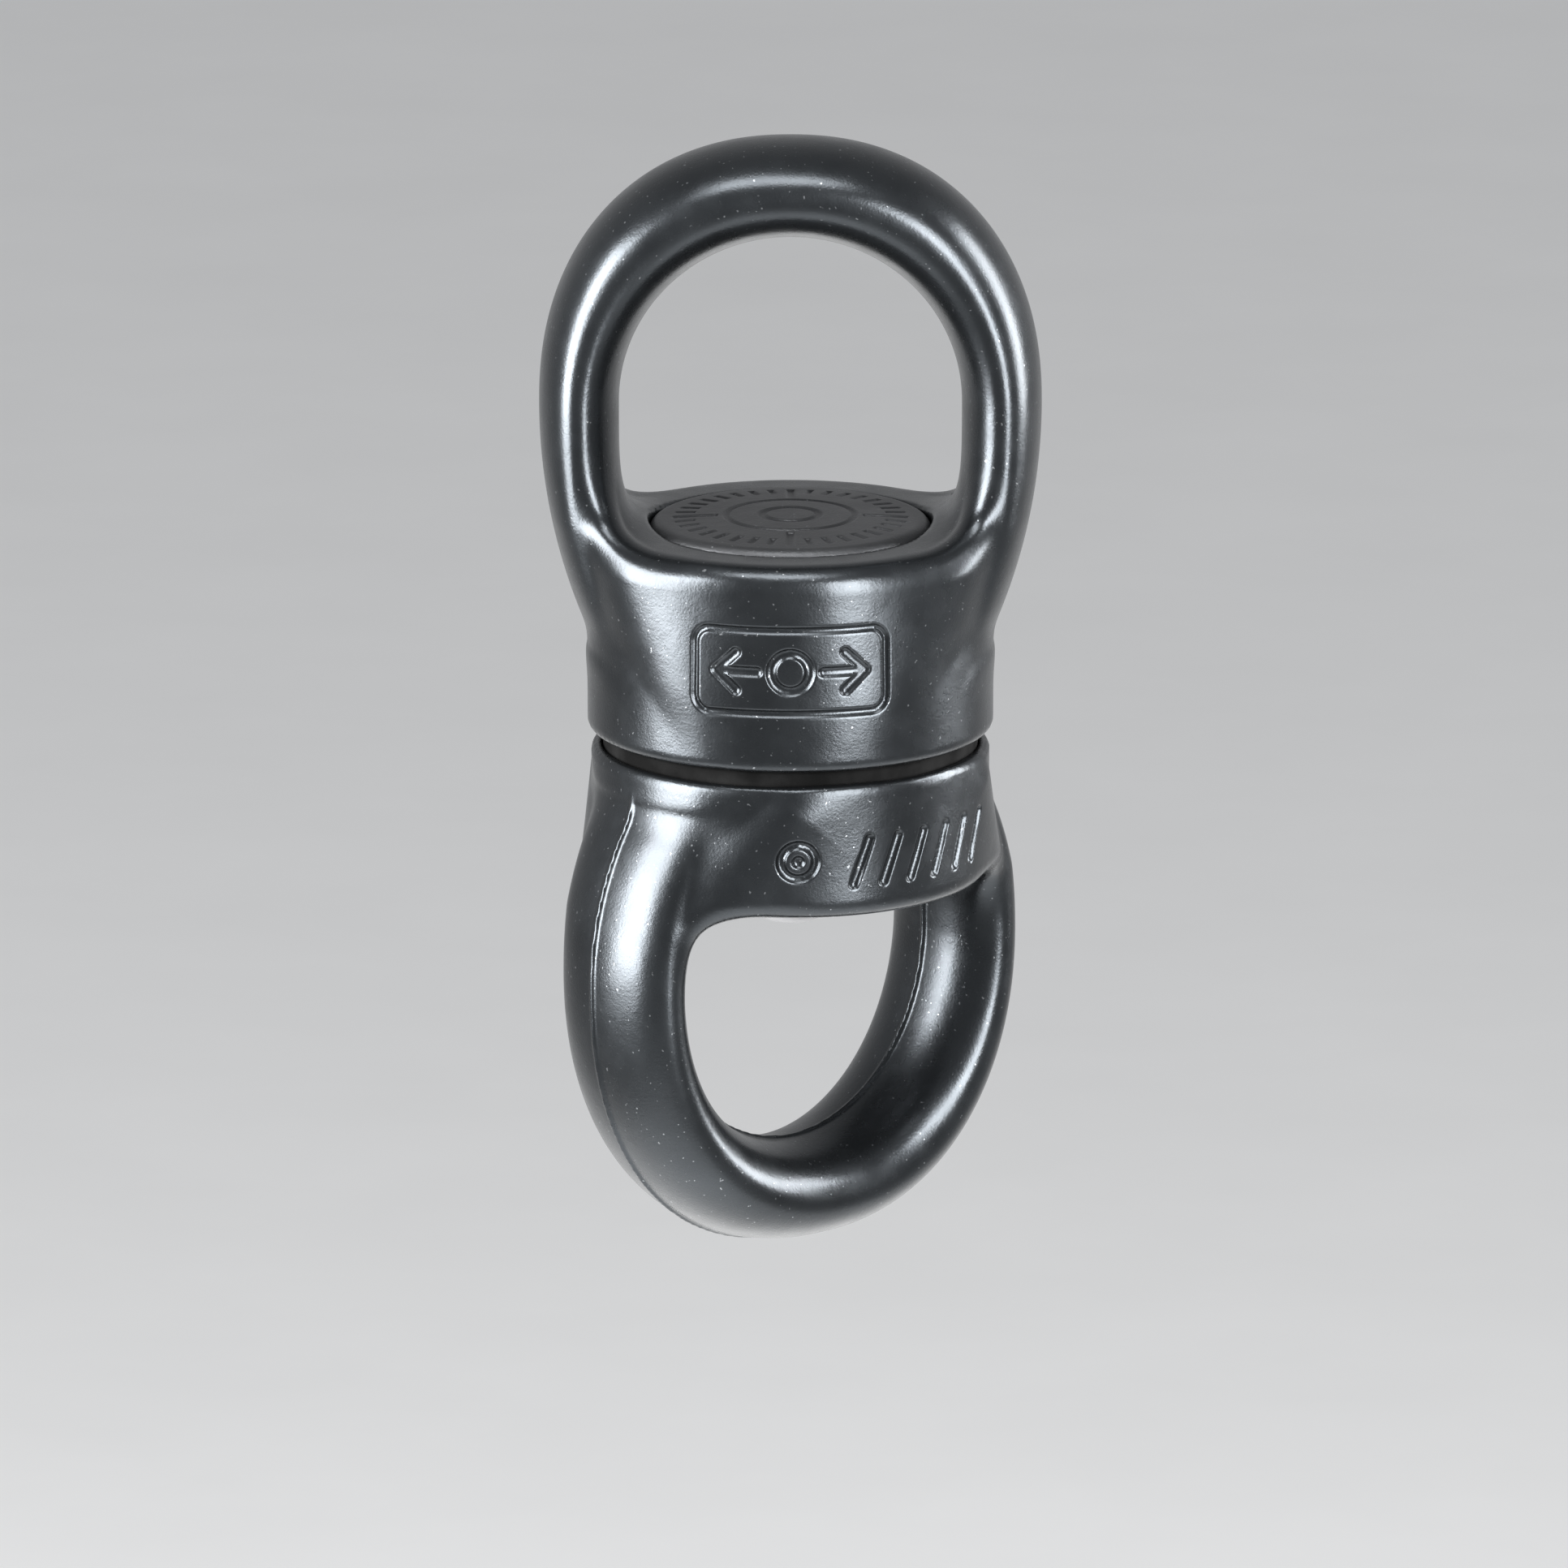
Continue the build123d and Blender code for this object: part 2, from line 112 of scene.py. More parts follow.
UPPER = Bow(
    reach=UPPER_REACH,
    crown_rise=20.9,
    opening_rise=13.3,
    flank=45.0,
    barrel_r=15.8,
    seat=16.8,
    seat_round=1.9,
    mouth_round=0.75,
    blend=6.2,
    ridge=0.0,
    root=7.5,
)
LOWER = Bow(
    reach=LOWER_REACH,
    crown_rise=23.0,
    opening_rise=15.3,
    flank=24.0,
    barrel_r=15.5,
    seat=11.2,
    seat_round=1.3,
    mouth_round=0.6,
    blend=5.2,
    ridge=0.22,
    root=3.4,
)


def step_up(x):
    """A smooth step from 0 to 1 between x = 0 and x = 1."""
    t = np.clip(x, 0.0, 1.0)
    return t * t * (3 - 2 * t)


def box_2d(x, y, x0, x1, y0, y1, r=0.0):
    """Signed distance to a rectangle, negative inside."""
    qx = np.abs(x - (x0 + x1) / 2) - ((x1 - x0) / 2 - r)
    qy = np.abs(y - (y0 + y1) / 2) - ((y1 - y0) / 2 - r)
    return np.hypot(np.maximum(qx, 0), np.maximum(qy, 0)) + np.minimum(np.maximum(qx, qy), 0) - r


def outside_depth(x, z, bow):
    """How far a point lies inside the outer outline of the eye."""
    dz = z - (bow.reach - bow.crown_rise)
    up = np.maximum(dz, 1e-6)
    ax = np.maximum(x, 1e-6)
    n = SQUARE
    rho = ((ax / HALF_WIDTH) ** n + (up / bow.crown_rise) ** n) ** (1 / n)
    gx = rho ** (1 - n) * ax ** (n - 1) / HALF_WIDTH**n
    gz = rho ** (1 - n) * up ** (n - 1) / bow.crown_rise**n
    crown = (1 - rho) / np.maximum(np.hypot(gx, gz), 1e-3)
    flank = bow.flank - np.hypot(x - (HALF_WIDTH - bow.flank), np.minimum(dz, 0))
    return np.where(dz > 0, crown, flank)


def inside_depth(x, z, bow):
    """How far a point lies outside the opening, its legs running on straight into the barrel."""
    dz = z - (bow.reach - bow.crown_rise)
    up = np.maximum(dz, 0)
    rho = np.maximum(np.hypot(x / OPENING, up / bow.opening_rise), 1e-4)
    grad = np.hypot(x / OPENING**2, up / bow.opening_rise**2) / rho
    crown = (rho - 1) / np.maximum(grad, 1e-3)
    swell = LEG_SWELL * np.maximum(bow.seat + 1.0 - z, 0)
    return np.where(dz > 0, crown, x - OPENING + swell)


def eye_ring(x, y, z, bow):
    """The oval-section ring of the eye, and the direction in which it grows."""
    far = outside_depth(x, z, bow)
    near = inside_depth(x, z, bow)
    half = np.clip((near + far) / 2, THINNEST, THICKEST)
    u = (near - far) / (2 * half)
    deep = HALF_DEPTH + ROOT_DEPTH * step_up((bow.seat + 6 - z) / 12)
    k0 = np.maximum(np.sqrt(u**2 + (y / deep) ** 2), 1e-4)
    k1 = np.maximum(np.sqrt((u / half) ** 2 + (y / deep**2) ** 2), 1e-4)
    ring = k0 * (k0 - 1) / k1
    dz = z - (bow.reach - bow.crown_rise)
    nx = np.where(dz > 0, x, x - (HALF_WIDTH - bow.flank))
    size = np.maximum(np.hypot(nx, dz), 1e-3)
    across = (u / half) / k1
    gx, gy, gz = across * nx / size, (y / deep**2) / k1, across * dz / size
    # the legs stop at the root, inside the barrel
    under = np.maximum(bow.root - z, 0)
    out = np.maximum(ring, 0)
    reach = np.hypot(out, under)
    whole = reach + np.minimum(np.maximum(ring, bow.root - z), 0)
    keep = np.where(reach > 1e-6, out / np.maximum(reach, 1e-6), 1.0)
    down = np.where(reach > 1e-6, under / np.maximum(reach, 1e-6), 0.0)
    return whole, (keep * gx, keep * gy, keep * gz - down)


def barrel(x, y, z, bow):
    """The turned barrel with its two rounded edges, and the direction in which it grows."""
    r = np.hypot(x, y)
    middle = (bow.seat + MOUTH) / 2
    top = z > middle
    edge = np.where(top, bow.seat_round, bow.mouth_round)
    qr = r - (bow.barrel_r - edge)
    qz = np.abs(z - middle) - ((bow.seat - MOUTH) / 2 - edge)
    out_r, out_z = np.maximum(qr, 0), np.maximum(qz, 0)
    size = np.hypot(out_r, out_z)
    body = size + np.minimum(np.maximum(qr, qz), 0) - edge
    within = size < 1e-6
    gr = np.where(within, (qr > qz) * 1.0, out_r / np.maximum(size, 1e-6))
    gz = np.where(within, (qr <= qz) * 1.0, out_z / np.maximum(size, 1e-6))
    r = np.maximum(r, 1e-6)
    return body, (gr * x / r, gr * y / r, gz * np.where(top, 1.0, -1.0))


BLEND_WIDTH = 1.45  # width of the smooth minimum for a fillet of radius 1 in a square corner


def join(first, second, radius):
    """Union of two shapes with a smooth fillet, the smaller the flatter the corner is."""
    (a, ga), (b, gb) = first, second
    c = np.clip(ga[0] * gb[0] + ga[1] * gb[1] + ga[2] * gb[2], -0.3, 1.0)
    k = np.maximum(BLEND_WIDTH * radius * (1 - c), 0.05)
    h = np.maximum(k - np.abs(a - b), 0) / k
    return np.minimum(a, b) - h**3 * k / 6


def cut(a, waste, r):
    """Takes waste out of a, with the edge broken by r."""
    b = -waste
    outer = np.hypot(np.maximum(r + a, 0), np.maximum(r + b, 0))
    return np.minimum(-r, np.maximum(a, b)) + outer


def upper_waste(r, z):
    """The turned holes of the upper bow, each a radius, a bottom and a top."""
    bores = (
        (11.03, CAP_SEAT, 24.0),  # cap seat
        (10.6, 5.8, 14.6),  # thrust bearing pocket
        (5.7, 3.5, 6.0),  # web bore
        (8.53, -6.0, 3.6),  # radial bearing bore
        (9.03, -1.13, -0.4),  # snap ring groove
    )
    waste = 1e3
    for radius, bottom, top in bores:
        waste = np.minimum(waste, box_2d(r, z, -radius, radius, bottom, top))
    return waste


def lower_waste(r, z):
    """Axle bore, the recess round the spigot and the seal's groove; z counts down into the bow."""
    bore = box_2d(r, z, -AXLE_HOLE_R, AXLE_HOLE_R, -6.0, 30.0)
    ring = box_2d(r, z, -5.42, 5.42, 7.68, 8.62)
    recess = box_2d(r, z, SPIGOT_R, 10.5, -6.0, 2.7)
    groove = box_2d(r, z, 11.47, 14.65, -6.0, 1.3)
    return np.minimum(np.minimum(bore, ring), np.minimum(recess, groove))


def bar(s, z, s0, z0, s1, z1, half):
    """Signed distance to a round-ended bar."""
    px, pz = s - s0, z - z0
    dx, dz = s1 - s0, z1 - z0
    t = np.clip((px * dx + pz * dz) / (dx * dx + dz * dz), 0, 1)
    return np.hypot(px - t * dx, pz - t * dz) - half


FRONT_ONLY = 50.0  # pushes a mark's copy off the back of a bow
UPPER_MARK_LEVEL = 8.7
LOWER_MARK_LEVEL = 6.4
LOWER_RING_AT = 0.6  # the ring's place round the collar
GRIP_BARS = 6


def upper_mark(x, y, z):
    """A rounded window with a two-headed arrow and a ring, pressed into the front of the barrel."""
    s = UPPER.barrel_r * np.arctan2(x, -y)
    c = z - UPPER_MARK_LEVEL
    mark = np.abs(box_2d(s, c, -7.6, 7.6, -3.3, 3.3, 1.2)) - 0.24
    mark = np.minimum(mark, np.abs(np.hypot(s, c) - 1.5) - 0.34)
    for side in (-1, 1):
        mark = np.minimum(mark, bar(s, c, side * 2.6, 0, side * 5.6, 0, 0.36))
        for end in (-1.5, 1.5):
            mark = np.minimum(mark, bar(s, c, side * 5.9, 0, side * 4.3, end, 0.36))
    return mark + FRONT_ONLY * (y > 0)


def lower_mark(x, y, z):
    """A small ring and a row of slanted bars on the collar. z counts down into the bow."""
    s = LOWER.barrel_r * np.arctan2(x, -y)
    from_ring = np.hypot(s - LOWER_RING_AT, z - LOWER_MARK_LEVEL)
    ring = np.abs(from_ring - 1.35) - 0.3
    dot = from_ring - 0.45
    mark = np.minimum(ring, dot)
    for k in range(GRIP_BARS):
        s0 = LOWER.barrel_r * math.radians(20 + 9.2 * k)
        mark = np.minimum(mark, bar(s, z, s0 - 0.4, 8.4, s0 + 0.9, 4.9, 0.34))
    return mark + FRONT_ONLY * (y > 0)


def press(body, mark, depth=0.3):
    """Presses a mark into a body with soft edges."""
    return body + depth * step_up(0.5 - mark / 0.3)


def upper_shape(p, marks=True):
    """The whole upper bow: eye and barrel joined, nose added, marks pressed in, holes turned out."""
    x, y, z = p[..., 0], p[..., 1], p[..., 2]
    r = np.hypot(x, y)
    side = np.abs(x)
    body = join(eye_ring(side, y, z, UPPER), barrel(side, y, z, UPPER), UPPER.blend)
    nose = box_2d(r, z, -NOSE_R, NOSE_R, NOSE_BOTTOM, 2.0)
    body = np.minimum(body, nose)
    if marks:
        body = press(body, upper_mark(x, y, z))
    return cut(body, upper_waste(r, z), EDGE_BREAK)


def turned_back(x, y):
    """The frame's x and y of a point of the flipped and turned lower bow."""
    return x * COS + y * SIN, x * SIN - y * COS


def lower_shape(p, marks=True):
    """As upper_shape, for the lower bow: z counts down, and a spigot stands in its recess."""
    x, y, z = p[..., 0], p[..., 1], p[..., 2]
    r = np.hypot(x, y)
    side = np.abs(x)
    body = join(eye_ring(side, y, z, LOWER), barrel(side, y, z, LOWER), LOWER.blend)
    # the forging's parting line, trimmed off the turned lip and the collar's underside
    beside_collar = step_up((side - 9.0) / 2)
    below_collar = step_up((z - 20.0) / 3)
    clear = np.maximum(beside_collar, below_collar) * step_up((z - 2.2) / 2.5)
    body = body - LOWER.ridge * clear * np.exp(-((y / RIDGE_WIDTH) ** 2))
    if marks:
        body = press(body, lower_mark(*turned_back(x, y), z))
    body = cut(body, lower_waste(r, z), EDGE_BREAK)
    spigot = box_2d(r, z, AXLE_HOLE_R, SPIGOT_R, 0.4, 3.4)
    return np.minimum(body, spigot)


# ---- meshes of the bows ----------------------------------------------------------------------------
STEP = 0.36
FAR_FROM_SURFACE = 3.0


def slope(shape, p, marks, e=0.02):
    """Value and gradient of a shape at points p."""
    value = shape(p, marks)
    grad = np.empty_like(p)
    for axis in range(3):
        step = np.zeros(3)
        step[axis] = e
        grad[:, axis] = (shape(p + step, marks) - shape(p - step, marks)) / (2 * e)
    return value, grad


def settle(shape, p, marks, rounds=4, limit=0.25):
    """Moves points onto the shape's surface along its gradient."""
    for _ in range(rounds):
        value, grad = slope(shape, p, marks)
        size = np.maximum((grad**2).sum(1), 0.05)
        move = np.clip(value / size, -limit, limit)[:, None] * grad
        p = p - move
    return p


def relax(p, edges, share):
    """One round of moving every point towards the middle of its neighbours."""
    total = np.zeros_like(p)
    count = np.zeros(len(p))
    for a, b in ((0, 1), (1, 0)):
        np.add.at(total, edges[:, a], p[edges[:, b]])
        np.add.at(count, edges[:, a], 1)
    return p + share * (total / np.maximum(count, 1)[:, None] - p)


def polygonise(shape, lo, hi, h):
    """Quads of the shape's surface on a grid of step h."""
    lo = [h * round(a / h) for a in lo]
    axes = [np.arange(a, b + h, h) for a, b in zip(lo, hi)]
    field = np.empty([len(a) for a in axes], dtype=np.float32)
    for i, x in enumerate(axes[0]):
        grid = np.stack(np.meshgrid([x], axes[1], axes[2], indexing="ij"), -1)
        field[i] = shape(grid[0], False)
    volume = openvdb.FloatGrid(background=FAR_FROM_SURFACE)
    volume.copyFromArray(np.clip(field, -FAR_FROM_SURFACE, FAR_FROM_SURFACE))
    points, quads = volume.convertToQuads(isovalue=0.0)
    return np.asarray(points, float) * h + np.array(lo), np.asarray(quads, int)


def solid_mesh(name, shape, lo, hi, h, fine):
    """A mesh of the shape, refined where fine(points) says so, still in millimetres."""
    p, quads = polygonise(shape, lo, hi, h)
    p = settle(shape, p, False)
    mesh = bpy.data.meshes.new(name)
    mesh.from_pydata(p.tolist(), [], quads.tolist())
    bm = bmesh.new()
    bm.from_mesh(mesh)
    bmesh.ops.recalc_face_normals(bm, faces=bm.faces)
    if bm.calc_volume(signed=True) < 0:
        bmesh.ops.reverse_faces(bm, faces=bm.faces)
    centres = np.array([f.calc_center_median()[:] for f in bm.faces])
    chosen = fine(centres)
    picked = set()
    for face, wanted in zip(bm.faces, chosen):
        if wanted:
            picked.update(face.edges)
    if picked:
        order = sorted(picked, key=lambda edge: edge.index)
        bmesh.ops.subdivide_edges(bm, edges=order, cuts=2, use_grid_fill=True)
    bmesh.ops.triangulate(bm, faces=[f for f in bm.faces if len(f.verts) > 4])
    bm.to_mesh(mesh)
    bm.free()
    p = np.array([v.co[:] for v in mesh.vertices])
    edges = np.array([e.vertices[:] for e in mesh.edges])
    for _ in range(2):
        p = relax(p, edges, 0.3)
        p = settle(shape, p, True, rounds=2, limit=0.1)
    p = settle(shape, p, True, rounds=2, limit=0.1)
    mesh.vertices.foreach_set("co", p.astype(np.float32).ravel())
    mesh.polygons.foreach_set("use_smooth", [True] * len(mesh.polygons))
    mesh.update()
    return mesh


def upper_fine(c):
    """Where the upper bow's mesh is refined: round the mark on the front of its barrel."""
    x, y, z = c[:, 0], c[:, 1], c[:, 2]
    s = UPPER.barrel_r * np.arctan2(x, -y)
    r = np.hypot(x, y)
    return (y < 0) & (np.abs(s) < 8.4) & (np.abs(z - UPPER_MARK_LEVEL) < 4.4) & (r > 15.2)


def lower_fine(c):
    """Where the lower bow's mesh is refined: round the collar's marks and along the parting line."""
    x, y, z = c[:, 0], c[:, 1], c[:, 2]
    row_x, row_y = turned_back(x, y)
    turn = np.degrees(np.arctan2(row_x, -row_y))
    r = np.hypot(row_x, row_y)
    marks = (turn > -8) & (turn < 75) & (z > 4.0) & (z < 9.4) & (r > 14.9)
    at_line = np.abs(y) < 0.8
    beside_collar = (z > 1.9) & (np.abs(x) > 8.5)
    return marks | (at_line & (beside_collar | (z > 20)))


def place(mesh, name, matrix, node):
    """The mesh, given in millimetres, as a piece that stands for a CAD node."""
    mesh.transform(matrix @ Matrix.Scale(MM, 4))
    if matrix.determinant() < 0:
        mesh.flip_normals()
    piece = bpy.data.objects.new(name, mesh)
    bpy.context.scene.collection.objects.link(piece)
    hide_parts(node)
    return piece


upper_mesh = solid_mesh(
    "upper_bow_forged", upper_shape, (-20.5, -17.0, -2.6), (20.5, 17.0, 48.4), STEP, upper_fine
)
upper = place(upper_mesh, "upper_bow_forged", Matrix.Translation((0, 0, GAP * MM)), "upper_bow")
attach(upper, "housing")

lower_mesh = solid_mesh(
    "lower_bow_forged", lower_shape, (-20.5, -17.0, -0.6), (20.5, 17.0, 41.4), STEP, lower_fine
)
flip = Matrix.Translation((0, 0, GAP * MM)) @ Matrix.Rotation(LOWER_TURN, 4, "Z")
flip = flip @ Matrix.Rotation(math.pi, 4, "X")
lower = place(lower_mesh, "lower_bow_forged", flip, "lower_bow")
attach(lower, "swivel")


# ---- the cap: a turned disc with a scale of pressed ticks and two rings ----------------------------
CAP_ROUND = 1.05
CAP_EDGE = 17.1  # level of the dome at the cap's radius
CAP_CROWN = 17.5
CAP_HOLLOW_R = 8.4
CAP_HOLLOW_TOP = 15.5
RING_GROOVE_R = 10.2
CAP_CENTRE_R = 0.6  # the innermost ring of vertices underneath
CAP_MARK_DEPTH = 0.16
SHORT_TICKS, LONG_TICKS = 36, 4
ROUND_STEPS = 8


def dome_level(r):
    """Level of the cap's plain dome at radius r."""
    return CAP_CROWN - (CAP_CROWN - CAP_EDGE) * (r / CAP_R) ** 2


def off_spoke(turn, r, count):
    """Distance, round the circle of radius r, to the nearest of evenly spaced spokes."""
    return np.abs((turn * count / (2 * math.pi) + 0.5) % 1.0 - 0.5) / count * 2 * math.pi * r


def cap_mark(turn, r):
    """Signed distance to the ticks and the two rings, all round the circle of radius r."""
    tick = np.maximum(off_spoke(turn, r, SHORT_TICKS) - 0.2, abs(r - 8.3) - 0.75)
    long_tick = np.maximum(off_spoke(turn, r, LONG_TICKS) - 0.28, abs(r - 7.4) - 1.7)
    outer_ring = abs(r - 5.0) - 0.22
    inner_ring = abs(r - 2.2) - 0.3
    return np.minimum(np.minimum(tick, long_tick), min(outer_ring, inner_ring))


def cap_rings(count, turn):
    """Radius and level of each ring of vertices: over the dome, down the side and in underneath."""
    rings = []
    flat = CAP_R - CAP_ROUND
    for k in range(1, count + 1):
        r = flat * k / count
        rings.append((r, dome_level(r) - CAP_MARK_DEPTH * step_up(0.5 - cap_mark(turn, r) / 0.22)))
    for k in range(1, ROUND_STEPS + 1):
        a = math.pi / 2 * k / ROUND_STEPS
        rings.append((flat + CAP_ROUND * math.sin(a), dome_level(flat) - CAP_ROUND * (1 - math.cos(a))))
    rings += [(CAP_R, 15.92), (RING_GROOVE_R, 15.9), (RING_GROOVE_R, 15.1), (CAP_R, 15.08)]
    rings += [(CAP_R, CAP_SEAT), (CAP_HOLLOW_R, CAP_SEAT)]
    rings += [(CAP_HOLLOW_R, CAP_HOLLOW_TOP), (CAP_CENTRE_R, CAP_HOLLOW_TOP)]
    return rings


def cap_mesh():
    """The cap as rings of vertices between a vertex at its crown and one underneath."""
    sectors = 480
    turn = np.linspace(0, 2 * math.pi, sectors, endpoint=False)
    rings = cap_rings(110, turn)
    verts = [(0.0, 0.0, CAP_CROWN)]
    for r, z in rings:
        for a, level in zip(turn, np.broadcast_to(z, turn.shape)):
            verts.append((r * math.cos(a), r * math.sin(a), float(level)))
    verts.append((0.0, 0.0, CAP_HOLLOW_TOP))
    faces = []
    for j in range(sectors):
        faces.append((0, 1 + j, 1 + (j + 1) % sectors))
    for k in range(len(rings) - 1):
        a = 1 + k * sectors
        b = a + sectors
        for j in range(sectors):
            n = (j + 1) % sectors
            faces.append((a + j, b + j, b + n, a + n))
    last = 1 + (len(rings) - 1) * sectors
    end = len(verts) - 1
    for j in range(sectors):
        faces.append((end, last + (j + 1) % sectors, last + j))
    mesh = bpy.data.meshes.new("top_cap_turned")
    mesh.from_pydata(verts, [], faces)
    mesh.polygons.foreach_set("use_smooth", [True] * len(faces))
    mesh.update()
    return mesh


cap = place(cap_mesh(), "top_cap_turned", Matrix.Translation((0, 0, GAP * MM)), "top_cap")
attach(cap, "housing")
even_normals = cap.modifiers.new("edges", "WEIGHTED_NORMAL")
even_normals.keep_sharp = True


# ---- materials ------------------------------------------------------------------------------------
def new_material(name, metallic, base, rough):
    """A material, its node tree and its shader, with the plain values on the shader itself."""
    material = bpy.data.materials.new(name)
    material.use_nodes = True
    tree = material.node_tree
    shader = tree.nodes["Principled BSDF"]
    shader.inputs["Metallic"].default_value = metallic
    shader.inputs["Base Color"].default_value = (*base, 1)
    shader.inputs["Roughness"].default_value = rough
    return material, tree, shader


def noise(tree, coords, scale, detail=4.0, rough=0.55):
    """Noise from 0 to 1, scale in waves to the metre."""
    node = tree.nodes.new("ShaderNodeTexNoise")
    node.inputs["Scale"].default_value = scale
    node.inputs["Detail"].default_value = detail
    node.inputs["Roughness"].default_value = rough
    tree.links.new(coords, node.inputs["Vector"])
    return node.outputs["Fac"]


def ramp(tree, value, stops):
    """Colour that runs between stops, each a place from 0 to 1 and a colour."""
    node = tree.nodes.new("ShaderNodeValToRGB")
    band = node.color_ramp
    while len(band.elements) < len(stops):
        band.elements.new(0.5)
    for element, (at, colour) in zip(band.elements, stops):
        element.position = at
        element.color = (*colour, 1)
    tree.links.new(value, node.inputs["Fac"])
    return node.outputs["Color"]


def grey(v):
    """A neutral colour."""
    return (v, v, v)


def tinted(base, factor):
    """A colour made lighter or darker, at most white."""
    return tuple(min(1, v * factor) for v in base)


def math_node(tree, kind, a, b=None, c=None):
    """A math node on numbers or other nodes' values."""
    node = tree.nodes.new("ShaderNodeMath")
    node.operation = kind
    for socket, value in zip(node.inputs, (a, b, c)):
        if value is None:
            continue
        if isinstance(value, (int, float)):
            socket.default_value = value
        else:
            tree.links.new(value, socket)
    return node.outputs[0]


def bump(tree, shader, height, strength, distance, after=None):
    """Fine relief on the shader, on top of the relief given as after."""
    node = tree.nodes.new("ShaderNodeBump")
    node.inputs["Strength"].default_value = strength
    node.inputs["Distance"].default_value = distance
    tree.links.new(height, node.inputs["Height"])
    if after is not None:
        tree.links.new(after, node.inputs["Normal"])
    tree.links.new(node.outputs["Normal"], shader.inputs["Normal"])
    return node.outputs["Normal"]


def coordinates(tree):
    """The object's own coordinates, in metres."""
    return tree.nodes.new("ShaderNodeTexCoord").outputs["Object"]


SPECK_COLOUR = (0.22, 0.23, 0.24)


def anodised(name, base, rough, peel, grain, specks):
    """Black anodised aluminium: fine pits, slight colour drift and small brighter specks."""
    material, tree, shader = new_material(name, 0.92, base, rough)
    where = coordinates(tree)
    drift = noise(tree, where, 90.0, 3.0)
    pits = noise(tree, where, 5200.0, 2.0)
    dust = noise(tree, where, 3400.0, 1.0, 0.4)
    shade = ramp(tree, drift, ((0.3, tinted(base, 0.85)), (0.7, tinted(base, 1.2))))
    speck = ramp(tree, dust, ((specks, grey(0.0)), (specks + 0.035, grey(1.0))))
    # sockets of a colour mix: 0 the amount, 6 and 7 the two colours, 2 the result
    mix = tree.nodes.new("ShaderNodeMix")
    mix.data_type = "RGBA"
    mix.inputs[7].default_value = (*SPECK_COLOUR, 1)
    amount = math_node(tree, "MULTIPLY", speck, 0.55)
    tree.links.new(amount, mix.inputs[0])
    tree.links.new(shade, mix.inputs[6])
    tree.links.new(mix.outputs[2], shader.inputs["Base Color"])
    dull = math_node(tree, "MULTIPLY_ADD", noise(tree, where, 420.0, 5.0), 0.16, rough - 0.08)
    tree.links.new(dull, shader.inputs["Roughness"])
    first = bump(tree, shader, noise(tree, where, 620.0, 3.0), peel, 0.00012)
    bump(tree, shader, pits, grain, 0.00003, first)
    return material


def metal(name, base, rough, brush, turned=True):
    """Turned or ground steel: fine circular lines about the spin axis and a light colour drift."""
    material, tree, shader = new_material(name, 1.0, base, rough)
    where = coordinates(tree)
    split = tree.nodes.new("ShaderNodeSeparateXYZ")
    tree.links.new(where, split.inputs[0])
    x2 = math_node(tree, "MULTIPLY", split.outputs[0], split.outputs[0])
    y2 = math_node(tree, "MULTIPLY", split.outputs[1], split.outputs[1])
    radius = math_node(tree, "SQRT", math_node(tree, "ADD", x2, y2))
    line = tree.nodes.new("ShaderNodeCombineXYZ")
    tree.links.new(radius, line.inputs[0])
    tree.links.new(split.outputs[2], line.inputs[2])
    along = line.outputs[0] if turned else where
    lines = noise(tree, along, 6500.0, 2.0)
    drift = noise(tree, where, 160.0, 4.0)
    tone = ramp(tree, drift, ((0.3, tinted(base, 0.8)), (0.75, tinted(base, 1.15))))
    tree.links.new(tone, shader.inputs["Base Color"])
    dull = math_node(tree, "MULTIPLY_ADD", lines, 0.18, rough - 0.09)
    tree.links.new(dull, shader.inputs["Roughness"])
    bump(tree, shader, lines, brush, 0.00002)
    return material


def rubber(name):
    """Moulded black rubber: faint bloom and a fine pebble, with colour and shine kept darker than real
    rubber as painted shade for the gap between the bows.
    """
    # painted shade: base colour and specular are set below real rubber, so the seal in the gap between
    # the bows reads as deep shadow
    material, tree, shader = new_material(name, 0.0, (0.004, 0.004, 0.004), 0.8)
    shader.inputs["Specular IOR Level"].default_value = 0.03
    where = coordinates(tree)
    bloom = ramp(tree, noise(tree, where, 300.0, 5.0), ((0.35, grey(0.002)), (0.8, grey(0.007))))
    tree.links.new(bloom, shader.inputs["Base Color"])
    dull = math_node(tree, "MULTIPLY_ADD", noise(tree, where, 800.0, 4.0), 0.25, 0.68)
    tree.links.new(dull, shader.inputs["Roughness"])
    bump(tree, shader, noise(tree, where, 2600.0, 3.0), 0.35, 0.00006)
    return material


bow_black = anodised(
    "black_anodised_forging",
    base=(0.024, 0.0265, 0.029),
    rough=0.27,
    peel=0.14,
    grain=0.35,
    specks=0.74,
)
cap_black = anodised(
    "black_anodised_cap",
    base=(0.040, 0.041, 0.043),
    rough=0.45,
    peel=0.30,
    grain=0.75,
    specks=0.76,
)
bearing_steel = metal("ground_bearing_steel", (0.60, 0.60, 0.61), 0.25, 0.3)
axle_steel = metal("dark_stainless_axle", (0.20, 0.20, 0.21), 0.32, 0.4)
ball_steel = metal("polished_ball_steel", (0.72, 0.72, 0.73), 0.10, 0.1, turned=False)
brass = metal("turned_brass", (0.62, 0.44, 0.18), 0.28, 0.35)
sheet_steel = metal("pressed_sheet_steel", (0.50, 0.50, 0.51), 0.34, 0.3)
spring_steel = metal("phosphated_spring_steel", (0.09, 0.09, 0.095), 0.45, 0.4)
# painted shade: this rubber is darker than real rubber, so the gap seal stands in for the shadow in the
# gap
dark_rubber_and_gap_shade = rubber("moulded_rubber_painted_gap_shade")


def dress(obj, material):
    """Gives a piece its one material."""
    obj.data.materials.clear()
    obj.data.materials.append(material)


